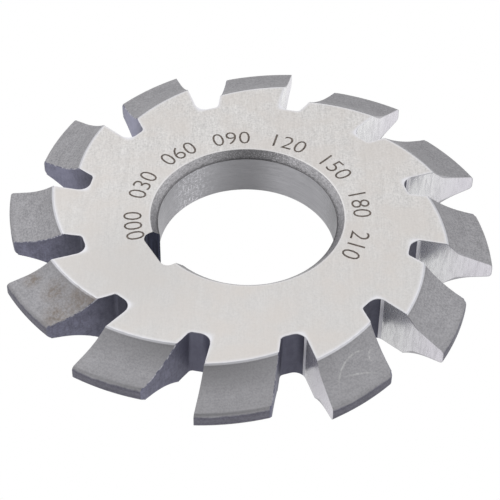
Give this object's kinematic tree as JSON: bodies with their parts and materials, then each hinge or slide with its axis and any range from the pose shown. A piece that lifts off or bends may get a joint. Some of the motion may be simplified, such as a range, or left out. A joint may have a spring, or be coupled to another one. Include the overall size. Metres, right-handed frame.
{
  "type": "involute gear cutter",
  "caption": "Disc-shaped form-relieved milling cutter for involute gear teeth, with radial gashes, ground side faces and a keyed, chamfered bore.",
  "frame": {"origin": "on the bore's axis, at the lower side face, on which the cutter lies", "axes": "+Z along the bore's axis, from the lower side face to the upper one; +X along the first tooth's cutting face, which looks towards -Y"},
  "size_m": [0.0608, 0.0608, 0.0069],
  "materials": {
    "ground_steel": "satin"
  },
  "bodies": {
    "root": {"gear_cutter": "ground_steel"}
  },
  "joints": []
}
